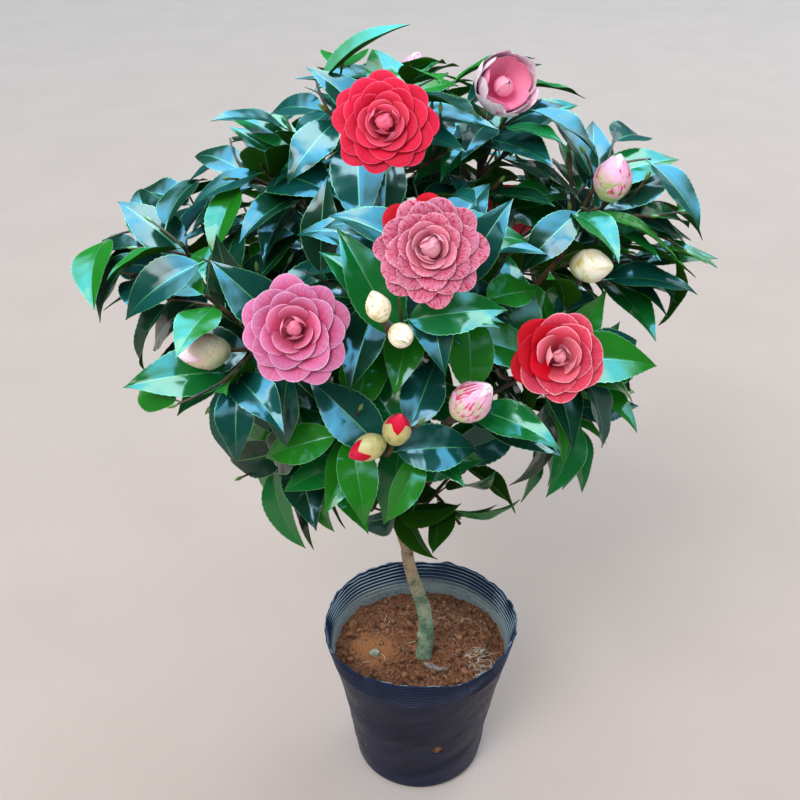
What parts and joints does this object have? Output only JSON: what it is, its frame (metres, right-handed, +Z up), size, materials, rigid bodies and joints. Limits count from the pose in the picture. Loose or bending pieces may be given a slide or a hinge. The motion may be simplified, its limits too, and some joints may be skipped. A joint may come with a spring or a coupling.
{
  "type": "potted camellia shrub",
  "caption": "Evergreen flowering shrub with a slender trunk, rounded leafy crown, double blooms and buds, in a soft plastic nursery pot.",
  "frame": {"origin": "middle of the pot's flat underside, on the surface that the pot stands on", "axes": "+Z up along the plant, +X to the viewer's right, +Y to the back, so that the open blooms shown most face -Y"},
  "size_m": [0.5007, 0.4304, 0.7792],
  "materials": {
    "pot_plastic": "thin soft dark navy plastic, dusty inside the rim",
    "soil": "crumbly red-brown potting soil",
    "trunk_bark": "smooth grey-brown bark, green with algae low down",
    "bough_bark": "smooth tan to red-brown young bark",
    "foliage": "glossy leathery dark green leaves",
    "petals": "silky petals, red, pink and white",
    "buds": "satin green and cream bud scales"
  },
  "bodies": {
    "root": {"nursery_pot": "pot_plastic", "soil": "soil", "trunk": "trunk_bark", "bough_top_left": "bough_bark", "bough_far_left": "bough_bark", "bough_upper_right": "bough_bark", "bough_back_top": "bough_bark", "bough_low_front": "bough_bark", "bough_trunk_shoots": "bough_bark", "bough_top_right": "bough_bark", "bough_centre_front": "bough_bark", "bough_upper_left": "bough_bark", "bough_left_front": "bough_bark", "bough_low_left": "bough_bark", "bough_right": "bough_bark", "bough_right_front": "bough_bark", "bough_low_right": "bough_bark", "bough_back_left": "bough_bark", "bough_back_right": "bough_bark", "bough_back_low": "bough_bark", "foliage_top_left": "foliage", "foliage_far_left": "foliage", "foliage_upper_right": "foliage", "foliage_back_top": "foliage", "foliage_low_front": "foliage", "foliage_trunk_shoots": "foliage", "foliage_top_right": "foliage", "foliage_centre_front": "foliage", "foliage_upper_left": "foliage", "foliage_left_front": "foliage", "foliage_low_left": "foliage", "foliage_right": "foliage", "foliage_right_front": "foliage", "foliage_low_right": "foliage", "foliage_back_left": "foliage", "foliage_back_right": "foliage", "foliage_back_low": "foliage"}
  },
  "joints": []
}
